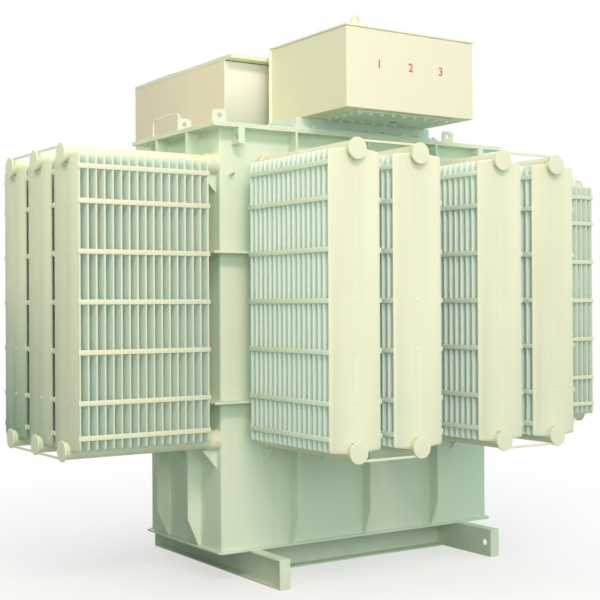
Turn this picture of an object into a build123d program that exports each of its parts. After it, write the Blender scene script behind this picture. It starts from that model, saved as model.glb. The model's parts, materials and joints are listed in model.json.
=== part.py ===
"""Oil-filled power transformer: welded tank on a channel frame, panel radiators on
all four walls, and two cable boxes on the cover.  Millimetres, +Z up, the front
(high-voltage side) faces -Y, and the origin is under the middle of the frame.
"""
import math
import os

from build123d import *

# Base frame: two channels along Y, two cross channels along X
beam_height = 160.0
beam_width = 65.0
beam_web = 7.5
beam_flange = 10.5
beam_overhang = 307.5
beam_inset = 240.0
beam_end_plate = 10.0
cross_beam_inset = 187.5
tow_hole = 36.0
tow_hole_from_end = 53.0

# Tank shell, its base plate, rim flange and cover
tank_length = 1890.0
tank_width = 835.0
tank_height = 2275.0
wall = 8.0
base_plate = 12.0
base_overhang = 25.0
base_corner = 22.0
rim_width = 80.0
rim_thickness = 12.0
cover_thickness = 12.0

# Flat-bar stiffeners on the walls
rib_depth = 80.0
rib_thickness = 15.0
rib_foot = 15.0
rib_taper = 148.0
front_rib_spacing = 500.0
ring_thickness = 12.0
lower_ring_rise = 199.0
upper_ring_drop = 474.0

# Panel radiators
panel_count = 17
panel_pitch = 45.0
panel_width = 310.0
panel_height = 1476.0
panel_thickness = 20.0
panel_from_wall = 129.0
radiator_drop = 195.0
front_pair_gap = 73.4
front_middle_gap = 243.4
end_radiator_gap = 42.4
strap_height = 25.0
strap_thickness = 5.0
strap_spacing = 250.0
strap_end_margin = 66.0
strap_least_gap = 100.0

# Header pipes that feed the radiators
header_diameter = 89.0
header_sides = 12
header_rise = 7.0
cap_lip = 10.5
cap_thickness = 10.0
cap_from_panel = 19.0
collar_lip = 10.5
collar_length = 60.0
gusset_reach = 85.0
gusset_drop = 100.0
gusset_thickness = 12.0
tie_bar_height = 12.0
tie_bar_thickness = 6.0
tie_bar_drop = 2.5

# High-voltage cable box and the neck that carries it
neck_overhang = 34.0
neck_from_edge = 42.5
neck_back_inset = 16.0
neck_height = 70.0
neck_flange = 35.0
neck_flange_thickness = 12.0
hv_length = 882.0
hv_depth = 754.0
hv_height = 431.0
hv_overhang = 390.5
hv_lid_thickness = 10.0
hv_lid_overhang = 6.0
hv_back_plate = 10.0
hv_back_lip = 15.0
gland_length = 660.0
gland_thickness = 8.0
gland_from_front = 50.0
gland_from_neck = 53.0
cable_hole = 56.0
cable_hole_place = 87.0
cable_hole_from_back = 91.0

# Low-voltage cable box behind the high-voltage box, past the back edge of the cover
lv_length = 1380.0
lv_depth = 1175.0
lv_height = 437.0
lv_gap = 18.0
lv_lid_thickness = 24.0
lv_lid_overhang = 79.0
hatch_depth = 455.0
hatch_from_back = 110.0
hatch_from_side = 20.0
hatch_thickness = 12.0
lv_gland_from_cover = 53.0
lv_gland_from_back = 50.0

# Lugs, grab rail and earthing stud
cover_lug_width = 85.0
cover_lug_height = 66.0
cover_lug_thickness = 12.0
cover_lug_hole = 28.0
cover_lug_corner = 20.0
cover_lug_from_edge = 25.0
cover_lug_from_end = 2.5
cover_lug_from_neck = 51.5
side_lug_place = 80.0
hv_lug_width = 65.0
hv_lug_height = 64.0
hv_lug_hole = 30.0
hv_lug_inset = 96.0
hv_lug_from_front = 44.0
lift_lug_from_end = 92.0
lift_lug_thickness = 40.0
lift_lug_reach = 80.0
lift_lug_height = 86.0
lift_lug_hole = 36.0
lift_lug_hole_reach = 48.0
lift_lug_hole_rise = 38.0
rail_diameter = 10.0
rail_sides = 8
rail_length = 320.0
rail_height = 100.0
rail_bend = 30.0
rail_from_edge = 30.0
rail_from_lug = 30.0
stud_diameter = 24.0
stud_length = 40.0
stud_from_end = 64.0
stud_drop = 244.0

# Clearance between pieces that are fitted but not one solid
fit_gap = 0.3

# Levels and places that follow from the sizes above
beam_length = tank_width + 2 * beam_overhang
beam_web_spacing = tank_length - 2 * beam_inset
cross_beam_spacing = tank_width - 2 * cross_beam_inset
base_top = beam_height + base_plate
tank_top = base_top + tank_height
rim_top = tank_top + rim_thickness
cover_top = rim_top + cover_thickness
cover_half_length = tank_length / 2 + rim_width
cover_half_width = tank_width / 2 + rim_width

radiator_top = tank_top - radiator_drop
radiator_foot = radiator_top - panel_height
radiator_middle = (radiator_top + radiator_foot) / 2
ring_levels = (radiator_foot + lower_ring_rise, radiator_top - upper_ring_drop)
first_panel_face = panel_from_wall - panel_thickness / 2
last_panel_face = first_panel_face + panel_pitch * (panel_count - 1) + panel_thickness
radiator_width = panel_width + 2 * (fit_gap + strap_thickness)
inner_place = (front_middle_gap + radiator_width) / 2
outer_place = inner_place + front_pair_gap + radiator_width
front_places = (-outer_place, -inner_place, inner_place, outer_place)
end_spacing = end_radiator_gap + radiator_width
end_places = (-end_spacing, 0.0, end_spacing)

cap_diameter = header_diameter + 2 * cap_lip
collar_diameter = header_diameter + 2 * collar_lip
header_end = last_panel_face + cap_from_panel + cap_thickness
header_levels = ((radiator_top + header_rise, 1), (radiator_foot - header_rise, -1))

hv_front = cover_half_width + hv_overhang
hv_back = hv_depth - hv_front
neck_half_length = hv_length / 2 + neck_overhang
neck_front = cover_half_width - neck_from_edge
neck_top = cover_top + neck_height
hv_top = neck_top + hv_height
end_lug_place = cover_half_length - cover_lug_from_end - cover_lug_width / 2
right_lug_place = neck_half_length + neck_flange + cover_lug_from_neck + cover_lug_width / 2
lv_front = hv_back + hv_lid_overhang + lv_gap + lv_lid_overhang
lv_back = lv_front + lv_depth
lv_top = cover_top + lv_height
lv_lid_top = lv_top + lv_lid_thickness

# Each wall: turn about Z, distance of its face from the centre, radiator places and ribs
front_ribs = (-front_rib_spacing, 0.0, front_rib_spacing)
end_ribs = (-end_spacing / 2, end_spacing / 2)
walls = {
    "front": (0, tank_width / 2, front_places, front_ribs),
    "right": (90, tank_length / 2, end_places, end_ribs),
    "back": (180, tank_width / 2, front_places, front_ribs),
    "left": (270, tank_length / 2, end_places, end_ribs),
}


def block(x_range, y_range, z_range):
    """A plate or bar between two limits on each axis."""
    ranges = (x_range, y_range, z_range)
    size = [high - low for low, high in ranges]
    middle = [(high + low) / 2 for low, high in ranges]
    return Pos(*middle) * Box(*size)


def onto_wall(side, solids):
    """Turn solids drawn against the plane Y = 0, outwards along -Y, onto a wall's face."""
    turn, distance = walls[side][:2]
    return [Rot(0, 0, turn) * Pos(0, -distance, 0) * solid for solid in solids]


def channel(length):
    """Channel section along Z with its web on the YZ plane, open towards +X."""
    half = beam_height / 2
    outline = Polyline(
        (0, -half), (beam_width, -half), (beam_width, beam_flange - half), (beam_web, beam_flange - half),
        (beam_web, half - beam_flange), (beam_width, half - beam_flange), (beam_width, half), (0, half),
        close=True,
    )
    return extrude(make_face(outline), length)


def lengthwise_beam(side):
    """One of the two channels along Y, web inwards, with a tow hole near each end."""
    run = beam_length - 2 * beam_end_plate
    beam = Pos(beam_web_spacing / 2, run / 2, beam_height / 2) * Rot(90, 0, 0) * channel(run)
    hole_y = beam_length / 2 - tow_hole_from_end
    for y in (-hole_y, hole_y):
        drill = Cylinder(tow_hole / 2, 4 * beam_web, rotation=(0, 90, 0))
        beam -= Pos(beam_web_spacing / 2, y, beam_height / 2) * drill
    return [beam if side > 0 else Rot(0, 0, 180) * beam]


def beam_end_plates():
    """Plates that close the four ends of the lengthwise channels."""
    inner = beam_web_spacing / 2
    end = beam_length / 2
    plate = block((inner, inner + beam_width), (-end, beam_end_plate - end), (0, beam_height))
    return [plate, mirror(plate, Plane.YZ), mirror(plate, Plane.XZ), Rot(0, 0, 180) * plate]


def cross_beams():
    """Two channels along X between the lengthwise webs, open outwards."""
    beam = Rot(0, 90, 0) * Rot(0, 0, 90) * channel(beam_web_spacing)
    beam = Pos(-beam_web_spacing / 2, cross_beam_spacing / 2, beam_height / 2) * beam
    return [beam, Rot(0, 0, 180) * beam]


def base_plate_solid():
    """Tank floor, a little larger than the tank, with its corners cut off."""
    outline = Rectangle(tank_length + 2 * base_overhang, tank_width + 2 * base_overhang)
    outline = chamfer(outline.vertices(), base_corner)
    return [Pos(0, 0, beam_height) * extrude(outline, base_plate)]


def tank_wall(side):
    """One wall plate: the long walls run over the ends of the short ones."""
    long_wall = side in ("front", "back")
    half = tank_length / 2 if long_wall else tank_width / 2 - wall
    return onto_wall(side, [block((-half, half), (0, wall), (base_top, tank_top))])


def frame_bars(inner_width, reach, low, high):
    """Four flat bars round the tank: the long pair covers the corners."""
    bars = []
    for side in walls:
        if side in ("front", "back"):
            half = tank_length / 2 + reach
        else:
            half = tank_width / 2 - inner_width - fit_gap
        bars += onto_wall(side, [block((-half, half), (-reach, inner_width), (low, high))])
    return bars


def rim_flange():
    """Rim that the cover is bolted to, standing on the wall plates."""
    return frame_bars(wall, rim_width, tank_top, rim_top)


def cover():
    """Cover plate over the whole rim."""
    half_x = cover_half_length
    half_y = cover_half_width
    return [block((-half_x, half_x), (-half_y, half_y), (rim_top, cover_top))]


def tank_rings():
    """Horizontal stiffeners round the tank at two levels."""
    half = ring_thickness / 2
    return [bar for level in ring_levels for bar in frame_bars(0, rib_depth, level - half, level + half)]


def rib(place, low, high, foot):
    """Vertical flat bar between two levels, tapered in at its foot where it has one."""
    outline = [(0, high), (-rib_depth, high)]
    outline += [(-rib_depth, low + rib_taper), (-rib_foot, low)] if foot else [(-rib_depth, low)]
    face = make_face(Polyline(*outline, (0, low), close=True))
    bar = extrude(Plane.YZ * face, rib_thickness / 2, both=True)
    return Pos(place, 0, 0) * bar


def wall_ribs():
    """Ribs of every wall, in three lengths between base plate, rings and rim."""
    lower, upper = ring_levels
    half = ring_thickness / 2
    lengths = (
        (base_top, lower - half, True),
        (lower + half, upper - half, False),
        (upper + half, tank_top, False),
    )
    bars = []
    for side in walls:
        bars += onto_wall(side, [rib(place, *length) for place in walls[side][3] for length in lengths])
    return bars


def strap_levels():
    """Strap heights about the panels' middle: an even row, and one more near each end."""
    end = panel_height / 2 - strap_end_margin
    steps = int((end - strap_least_gap) // strap_spacing)
    return [-end] + [step * strap_spacing for step in range(-steps, steps + 1)] + [end]


def radiator(place):
    """Panels in a row off the wall, with straps across both of their edges."""
    panel = Box(panel_width, panel_thickness, panel_height)
    panels = [
        Pos(place, -panel_from_wall - panel_pitch * index, radiator_middle) * panel
        for index in range(panel_count)
    ]
    straps = []
    inner = panel_width / 2 + fit_gap
    for level in strap_levels():
        middle = radiator_middle + level
        for sign in (-1, 1):
            edges = sorted((place + sign * inner, place + sign * (inner + strap_thickness)))
            height = (middle - strap_height / 2, middle + strap_height / 2)
            straps.append(block(edges, (-last_panel_face, -first_panel_face), height))
    return panels + straps


def header_piece(diameter, start, end):
    """Many-sided round piece of a header, between two distances from the wall."""
    section = RegularPolygon(diameter / 2, header_sides, major_radius=False, rotation=180 / header_sides)
    return extrude(Plane.XZ.offset(start) * section, end - start)


def header(place, level, outwards):
    """Header pipe with wall collar and end cap, cut flat where the panels meet it."""
    cap_start = header_end - cap_thickness
    body = header_piece(collar_diameter, 0, collar_length)
    body += header_piece(header_diameter, collar_length, cap_start)
    body += header_piece(cap_diameter, cap_start, header_end)
    seat = sorted((-outwards * header_rise, -outwards * header_diameter))
    along = (-last_panel_face - fit_gap, fit_gap - first_panel_face)
    body -= block((-header_diameter, header_diameter), along, seat)
    return Pos(place, 0, level) * body


def wall_headers(side):
    """Upper and lower header of every radiator on one wall."""
    solids = [header(place, *level) for place in walls[side][2] for level in header_levels]
    return onto_wall(side, solids)


def header_gussets():
    """Triangular brackets on the walls under the header collars."""
    gussets = []
    for side in walls:
        for place in walls[side][2]:
            for level, _ in header_levels:
                top = level - collar_diameter / 2
                outline = Polyline((0, top), (-gusset_reach, top), (0, top - gusset_drop), close=True)
                plate = extrude(Plane.YZ * make_face(outline), gusset_thickness / 2, both=True)
                gussets += onto_wall(side, [Pos(place, 0, 0) * plate])
    return gussets


def header_tie_bars():
    """Flat bars behind the end caps that tie neighbouring headers together."""
    bars = []
    back = header_end - cap_thickness
    rise = header_diameter / 2 - tie_bar_drop
    pipe_corner = header_diameter / 2 / math.cos(math.pi / header_sides)
    inset = math.sqrt(pipe_corner ** 2 - (rise - tie_bar_height / 2) ** 2) + fit_gap
    for side in walls:
        places = walls[side][2]
        pairs = ((0, 1), (2, 3)) if side in ("front", "back") else ((0, 1), (1, 2))
        for first, second in pairs:
            for level, outwards in header_levels:
                middle = level + outwards * rise
                bar = block(
                    (places[first] + inset, places[second] - inset), (-back, tie_bar_thickness - back),
                    (middle - tie_bar_height / 2, middle + tie_bar_height / 2),
                )
                bars += onto_wall(side, [bar])
    return bars


def hv_neck():
    """Low neck on the cover with a bolted flange, under the high-voltage box."""
    half = neck_half_length
    back = hv_back - neck_back_inset
    body = block((-half, half), (-neck_front, back), (cover_top, neck_top))
    half += neck_flange
    y_range = (-neck_front - neck_flange, back + neck_flange)
    return [body + block((-half, half), y_range, (cover_top, cover_top + neck_flange_thickness))]


def hv_box():
    """High-voltage cable box, closed, overhanging the front of the tank; its back plate stands proud."""
    half = hv_length / 2
    body = block((-half, half), (-hv_front, hv_back), (neck_top, hv_top))
    half += hv_back_lip
    return [body + block((-half, half), (hv_back - hv_back_plate, hv_back), (neck_top, hv_top))]


def hv_lid():
    """Flat lid of the high-voltage box."""
    half = hv_length / 2 + hv_lid_overhang
    y_range = (-hv_front - hv_lid_overhang, hv_back + hv_lid_overhang)
    return [block((-half, half), y_range, (hv_top, hv_top + hv_lid_thickness))]


def hv_gland_plate():
    """Plate under the front of the high-voltage box, with a hole where a cable enters."""
    half = gland_length / 2
    back = -neck_front - gland_from_neck
    plate = block((-half, half), (gland_from_front - hv_front, back), (neck_top - gland_thickness, neck_top))
    drill = Cylinder(cable_hole / 2, 4 * gland_thickness)
    return [plate - Pos(cable_hole_place, back - cable_hole_from_back, neck_top) * drill]


def lv_box():
    """Low-voltage cable box, closed, overhanging the back of the tank."""
    half = lv_length / 2
    return [block((-half, half), (lv_front, lv_back), (cover_top, lv_top))]


def lv_lid():
    """Lid of the low-voltage box, with an eave along its front and a raised hatch on its back part."""
    half = lv_length / 2
    lid = block((-half, half), (lv_front - lv_lid_overhang, lv_back), (lv_top, lv_lid_top))
    half -= hatch_from_side
    end = lv_back - hatch_from_back
    return [lid + block((-half, half), (end - hatch_depth, end), (lv_lid_top, lv_lid_top + hatch_thickness))]


def lv_gland_plate():
    """Plate for the cables under the overhang of the low-voltage box."""
    half = gland_length / 2
    y_range = (cover_half_width + lv_gland_from_cover, lv_back - lv_gland_from_back)
    return [block((-half, half), y_range, (cover_top - gland_thickness, cover_top))]


def lug(width, height, hole, corner):
    """Upright plate facing front, rounded at the top, with a lifting hole."""
    face = Pos(0, height / 2) * Rectangle(width, height)
    face = fillet(face.vertices().group_by(Axis.Y)[-1], corner)
    face -= Pos(0, height / 2) * Circle(hole / 2)
    return extrude(Plane.XZ * face, cover_lug_thickness / 2, both=True)


def cover_lugs():
    """Lugs for lifting the cover, along its front edge and its ends."""
    plate = lug(cover_lug_width, cover_lug_height, cover_lug_hole, cover_lug_corner)
    edge = cover_half_width - cover_lug_from_edge
    places = [(x, -edge) for x in (-end_lug_place, right_lug_place)]
    places += [(sign * end_lug_place, -side_lug_place) for sign in (-1, 1)]
    return [Pos(x, y, cover_top) * plate for x, y in places]


def hv_lugs():
    """Two lugs on the lid of the high-voltage box, at opposite corners."""
    plate = lug(hv_lug_width, hv_lug_height, hv_lug_hole, hv_lug_width / 2 - fit_gap)
    x = hv_length / 2 - hv_lug_inset
    places = ((-x, hv_lug_from_front - hv_front), (x, hv_back - hv_lug_from_front))
    return [Pos(*place, hv_top + hv_lid_thickness) * plate for place in places]


def lifting_lugs():
    """Thick lugs under the rim on the long walls, for lifting the whole transformer."""
    lugs = []
    from_middle = tank_length / 2 - lift_lug_from_end
    for side in ("front", "back"):
        for place in (-from_middle, from_middle):
            half = lift_lug_thickness / 2
            low = tank_top - lift_lug_height
            plate = block((-half, half), (-lift_lug_reach, 0), (low, tank_top))
            drill = Cylinder(lift_lug_hole / 2, 2 * lift_lug_thickness, rotation=(0, 90, 0))
            plate -= Pos(0, -lift_lug_hole_reach, low + lift_lug_hole_rise) * drill
            lugs += onto_wall(side, [Pos(place, 0, 0) * plate])
    return lugs


def grab_rail():
    """Bent rod standing on the left edge of the cover."""
    half = rail_length / 2
    path = FilletPolyline((-half, 0), (-half, rail_height), (half, rail_height), (half, 0), radius=rail_bend)
    start = Plane(origin=path @ 0, z_dir=path % 0)
    rod = sweep(start * RegularPolygon(rail_diameter / 2, rail_sides), path)
    x = rail_from_edge - cover_half_length
    middle = rail_from_lug - side_lug_place + half
    return [Pos(x, middle, cover_top) * Rot(0, 0, 90) * Rot(90, 0, 0) * rod]


def earth_studs():
    """Earthing studs on the long walls, near their left end seen from outside."""
    stud = Cylinder(stud_diameter / 2, stud_length, rotation=(90, 0, 0))
    stud = Pos(stud_from_end - tank_length / 2, -stud_length / 2, tank_top - stud_drop) * stud
    return onto_wall("front", [stud]) + onto_wall("back", [stud])


def nodes():
    """Every sub-part by name, each a list of solids that do not touch."""
    made = {
        "left_beam": lengthwise_beam(-1),
        "right_beam": lengthwise_beam(1),
        "beam_end_plates": beam_end_plates(),
        "cross_beams": cross_beams(),
        "base_plate": base_plate_solid(),
        "rim_flange": rim_flange(),
        "cover": cover(),
        "tank_rings": tank_rings(),
        "wall_ribs": wall_ribs(),
        "header_gussets": header_gussets(),
        "header_tie_bars": header_tie_bars(),
        "hv_neck": hv_neck(),
        "hv_box": hv_box(),
        "hv_lid": hv_lid(),
        "hv_gland_plate": hv_gland_plate(),
        "hv_lugs": hv_lugs(),
        "lv_box": lv_box(),
        "lv_lid": lv_lid(),
        "lv_gland_plate": lv_gland_plate(),
        "cover_lugs": cover_lugs(),
        "lifting_lugs": lifting_lugs(),
        "grab_rail": grab_rail(),
        "earth_studs": earth_studs(),
    }
    for side in walls:
        made[f"{side}_wall"] = tank_wall(side)
        made[f"{side}_headers"] = wall_headers(side)
        for number, place in enumerate(walls[side][2], start=1):
            made[f"{side}_radiator_{number}"] = onto_wall(side, radiator(place))
    return made


def main():
    os.makedirs("parts", exist_ok=True)
    for name, solids in nodes().items():
        shape = solids[0] if len(solids) == 1 else Compound(solids)
        export_step(shape, f"parts/{name}.step")


main()
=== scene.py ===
"""Looks of an oil-filled power transformer: pale green painted plate, pressed radiator
panels, round header pipes, weld seams, bolts and phase numbers.  Metres, +Z up.
"""

import json
import math

import bmesh
import bpy
from mathutils import Matrix, Vector


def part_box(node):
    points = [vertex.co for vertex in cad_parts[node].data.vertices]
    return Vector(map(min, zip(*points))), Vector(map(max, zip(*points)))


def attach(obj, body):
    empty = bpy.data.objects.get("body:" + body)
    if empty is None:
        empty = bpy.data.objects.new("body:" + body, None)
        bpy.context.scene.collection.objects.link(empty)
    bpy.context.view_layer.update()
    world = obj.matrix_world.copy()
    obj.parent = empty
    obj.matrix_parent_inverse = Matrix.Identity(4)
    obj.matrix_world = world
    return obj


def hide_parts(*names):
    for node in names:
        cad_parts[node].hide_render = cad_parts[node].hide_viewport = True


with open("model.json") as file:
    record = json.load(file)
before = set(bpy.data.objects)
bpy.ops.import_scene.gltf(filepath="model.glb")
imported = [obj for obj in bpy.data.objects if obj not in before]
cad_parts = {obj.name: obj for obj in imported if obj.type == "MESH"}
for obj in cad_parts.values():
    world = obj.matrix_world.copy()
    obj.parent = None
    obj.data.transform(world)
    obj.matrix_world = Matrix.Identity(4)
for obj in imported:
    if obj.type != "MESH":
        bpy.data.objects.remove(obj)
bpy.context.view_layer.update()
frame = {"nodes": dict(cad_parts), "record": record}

# Camera solved from the photograph
EYE = Vector((-4.1473, -6.0324, 1.4939))
EYE_YAW = math.radians(33.4867)
EYE_PITCH = math.radians(0.2400)
EYE_ROLL = math.radians(-0.2962)
FOCAL_PIXELS = 1202.0
IMAGE_PIXELS = 600.0
SENSOR_MM = 36.0

# Radiator panels and straps
PANEL_COUNT = 17
PANEL_THICKNESS = 0.020
PANEL_RIM = 0.008
PANEL_RIM_WIDTH = 0.012
PANEL_CORNER = 0.008
PANEL_SHOULDER = 0.013
PANEL_SEAT_STEPS = 6
VALLEY_DEPTH = 0.0088
VALLEY_HALF_WIDTH = 0.008
VALLEY_END = 0.130
STRAP_THICKNESS = 0.005
STRAP_HEIGHT = 0.025
STRAP_SPACING = 0.250
STRAP_INNER_COUNT = 5
STRAP_END_MARGIN = 0.066
STRAP_GAP = 0.0003
SPOT_WELD_RADIUS = 0.010
SPOT_WELD_RISE = 0.003
SPOT_WELD_SINK = 0.001

# Header pipes, with their weld fillets and worn edges
HEADER_RADIUS = 0.0445
HEADER_RISE = 0.007
CAP_RADIUS = 0.055
CAP_THICKNESS = 0.010
COLLAR_RADIUS = 0.055
COLLAR_LENGTH = 0.060
HEADER_SEGMENTS = 40
WALL_FILLET = 0.006
PIPE_FILLET = 0.005
CAP_FILLET = 0.004
COLLAR_CHAMFER = 0.003
CAP_CHAMFER = 0.0015
CAP_ROUND = 0.003

# Tank shell
SHELL_CORNER = 0.014
SHELL_CORNER_STEPS = 5
LEAST_CORNER = 0.001

# Softened plate edges, and the least angle of an edge that counts as sharp
SHARP_DEGREES = 25.0
PLATE_EDGE = 0.0018
BOX_EDGE = 0.0035
SMALL_EDGE = 0.0010

# Weld seams
SEAM_RADIUS = 0.0045
SEAM_STEP = 0.018
SEAM_RIPPLE = 0.0008

# Bolts; the chamfer is a share of the head's height, and its top a share of the width
BOLT_WIDTH = 0.019
BOLT_HEAD = 0.0085
BOLT_CHAMFER = 0.18
BOLT_CHAMFER_TOP = 0.46
WASHER_WIDTH = 0.026
WASHER_THICKNESS = 0.0025
GLAND_BOLT_INSET = 0.024
GLAND_BOLT_PITCH = 0.075
FLANGE_BOLT_INSET = 0.0175
FLANGE_BOLT_PITCH = 0.120

# Dark strip under the front of the low-voltage lid: painted shade in the joint
JOINT_SHADE_HEIGHT = 0.004
JOINT_SHADE_PROUD = 0.0008
JOINT_SHADE_GAP = 0.0002

# Grab rail: bend of the rod and the weld collars at its feet
RAIL_BEND = 0.030
RAIL_BEND_STEPS = 8
RAIL_COLLAR = 0.007
RAIL_COLLAR_HEIGHT = 0.008

# Earthing studs: ends of boss, washer and nut as shares of the reach, and the thread's pitch
BOSS_END = 0.44
STUD_WASHER_END = 0.50
NUT_END = 0.79
THREAD_PITCH = 0.05
THREAD_TURNS = 4

# Dark disc in the cable entry, a painted shade of the hole's inside, with its faces below the top of the
# gland plate
ENTRY_RADIUS = 0.0278
ENTRY_LOW = -0.0022
ENTRY_HIGH = -0.0004

# Phase numbers on the front of the high-voltage box; a figure fills a share of its text size
NUMBER_HEIGHT = 0.046
NUMBER_PLACES = (-0.225, -0.009, 0.203)
NUMBER_LEVEL = 2.786
NUMBER_THICKNESS = 0.0008
NUMBER_BOLD = 0.0012
FIGURE_SHARE = 0.7

# Lamps as place, size, power and colour: a long strip above the front, a broad one beside the
# camera, and one each for the left end, the back and the right end
LAMP_AIM = Vector((0.0, -0.5, 1.5))
LAMPS = {
    "strip_lamp": (Vector((-2.8, -7.0, 7.6)), (5.0, 0.8), 396.0, (1.0, 0.65, 0.62)),
    "broad_lamp": (Vector((-3.9, -7.5, 3.0)), (3.0, 3.0), 126.0, (1.0, 0.95, 0.92)),
    "left_lamp": (Vector((-4.0, -0.3, 4.2)), (1.5, 1.5), 42.0, (1.0, 0.97, 0.74)),
    "back_lamp": (Vector((1.4, 8.5, 4.2)), (3.0, 3.0), 270.0, (1.0, 0.95, 0.86)),
    "right_lamp": (Vector((8.5, 1.0, 4.5)), (3.0, 3.0), 180.0, (1.0, 0.95, 0.86)),
}

# Soft light from all round, much dimmer from the back left
FILL_COLOUR = (0.83, 1.0, 1.0, 1.0)
FILL_STRENGTH = 0.93
FILL_STRENGTH_LEFT = 0.04
BACK_LEFT = (-0.85, 0.5, 0.0)
BACK_LEFT_RANGE = (0.0, 0.75)

# Floor: what it throws back on the object near and far, and how it fades to white for the eye
WHITE = (1.0, 1.0, 1.0, 1.0)
FLOOR_SIZE = 60.0
FLOOR_COLOUR = (0.82, 0.82, 0.81, 1.0)
BOUNCE_NEAR = (0.30, 0.35, 0.32, 1.0)
BOUNCE_FAR = (0.54, 0.57, 0.55, 1.0)
BOUNCE_RANGE = (2.0, 5.0)
FADE_RANGE = (1.2, 6.0)
FADE_NEAR = 0.62

SIDES = {"front": 0.0, "right": 90.0, "back": 180.0, "left": 270.0}


# Node helpers
def add_node(tree, kind, links, **settings):
    """A node with its settings, and with its inputs linked or set by name."""
    node = tree.nodes.new(kind)
    for setting, value in settings.items():
        setattr(node, setting, value)
    for label, source in links.items():
        socket = node.inputs[label]
        if isinstance(source, bpy.types.NodeSocket):
            tree.links.new(source, socket)
        else:
            socket.default_value = source
    return node


def blank_material(name):
    """A node material with only its output."""
    material = bpy.data.materials.new(name)
    material.use_nodes = True
    material.node_tree.nodes.clear()
    return material, material.node_tree, material.node_tree.nodes.new("ShaderNodeOutputMaterial")


def noise(tree, vector, scale, detail=3.0, roughness=0.5):
    """Noise value at a given scale."""
    links = {"Vector": vector, "Scale": scale, "Detail": detail, "Roughness": roughness}
    return add_node(tree, "ShaderNodeTexNoise", links).outputs["Fac"]


def remap(tree, value, low, high, to_low, to_high):
    """Map a value from one range to another, held at its ends."""
    links = {"Value": value, "From Min": low, "From Max": high, "To Min": to_low, "To Max": to_high}
    return add_node(tree, "ShaderNodeMapRange", links).outputs["Result"]


def tint(tree, amount, first, second):
    """Blend two colours, or a colour and a socket, by an amount."""
    mix = tree.nodes.new("ShaderNodeMix")
    mix.data_type = "RGBA"
    for socket, source in ((mix.inputs[0], amount), (mix.inputs[6], first), (mix.inputs[7], second)):
        if isinstance(source, bpy.types.NodeSocket):
            tree.links.new(source, socket)
        else:
            socket.default_value = source
    return mix.outputs[2]


def calculate(tree, operation, *values):
    """One step of arithmetic."""
    return add_node(tree, "ShaderNodeMath", dict(enumerate(values)), operation=operation).outputs[0]


def coordinate(tree, vector, axis):
    """One coordinate of a vector."""
    return add_node(tree, "ShaderNodeSeparateXYZ", {"Vector": vector}).outputs[axis]


# Finishes
def paint(name, light, deep, grime, roughness, plate_wave, low_back_shade=None, front=None):
    """Satin paint on steel: mottled coats, faint runs, dust on ledges and an orange-peel skin.

    A dark green painted shade grows towards the lower back.  Two front colours, low and high,
    cover the faces to the front as painted light and shade: paler high up, darker low down.
    """
    material, tree, output = blank_material(name)
    place = tree.nodes.new("ShaderNodeTexCoord").outputs["Object"]
    facing = tree.nodes.new("ShaderNodeNewGeometry").outputs["Normal"]

    cloud = remap(tree, noise(tree, place, 1.7, 4.0), 0.32, 0.68, 0.0, 1.0)
    fleck = remap(tree, noise(tree, place, 55.0, 2.0), 0.45, 0.75, 0.0, 0.22)
    colour = tint(tree, cloud, light, deep)
    colour = tint(tree, fleck, colour, deep)

    stretched = add_node(tree, "ShaderNodeMapping", {"Vector": place, "Scale": (14.0, 14.0, 0.9)})
    runs = remap(tree, noise(tree, stretched.outputs[0], 1.0, 3.0), 0.58, 0.80, 0.0, 0.10)
    colour = tint(tree, runs, colour, grime)

    ledge = remap(tree, coordinate(tree, facing, "Z"), 0.6, 1.0, 0.0, 0.30)
    dust = calculate(tree, "MULTIPLY", ledge, noise(tree, place, 9.0, 4.0))
    height = coordinate(tree, place, "Z")
    splash = remap(tree, height, 0.0, 0.35, 0.26, 0.0)
    splash = calculate(tree, "MULTIPLY", splash, noise(tree, place, 7.0, 5.0, 0.6))
    colour = tint(tree, dust, colour, grime)
    colour = tint(tree, splash, colour, grime)
    # Painted shade: dark green growing towards the lower back of the end panels
    if low_back_shade:
        lower = remap(tree, height, *LOW_BACK_SHADE_HEIGHT, 1.0, 0.0)
        rearward = remap(tree, coordinate(tree, place, "Y"), *LOW_BACK_SHADE_PLACE, LOW_BACK_SHADE_LEAST, 1.0)
        colour = tint(tree, calculate(tree, "MULTIPLY", lower, rearward), colour, low_back_shade)
    # Painted light and shade on faces to the front: paler high up, darker low down
    if front:
        painted_front_light = tint(tree, remap(tree, height, *FRONT_SHADE_HEIGHT, 0.0, 1.0), *front)
        forward = remap(tree, coordinate(tree, facing, "Y"), *FRONT_LIGHT_FACING, 1.0, 0.0)
        colour = tint(tree, forward, colour, painted_front_light)

    sheen = remap(tree, noise(tree, place, 6.0, 3.0), 0.3, 0.7, roughness - 0.06, roughness + 0.08)
    peel = add_node(tree, "ShaderNodeBump",
                    {"Height": noise(tree, place, 420.0, 2.0), "Strength": 0.10, "Distance": 0.0006})
    wave = add_node(tree, "ShaderNodeBump", {"Height": noise(tree, place, 3.2, 1.0), "Strength": 0.25,
                                             "Distance": plate_wave, "Normal": peel.outputs[0]})
    shader = add_node(tree, "ShaderNodeBsdfPrincipled", {
        "Base Color": colour, "Roughness": sheen, "Specular IOR Level": 0.42, "Normal": wave.outputs[0]})
    tree.links.new(shader.outputs[0], output.inputs[0])
    return material


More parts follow.
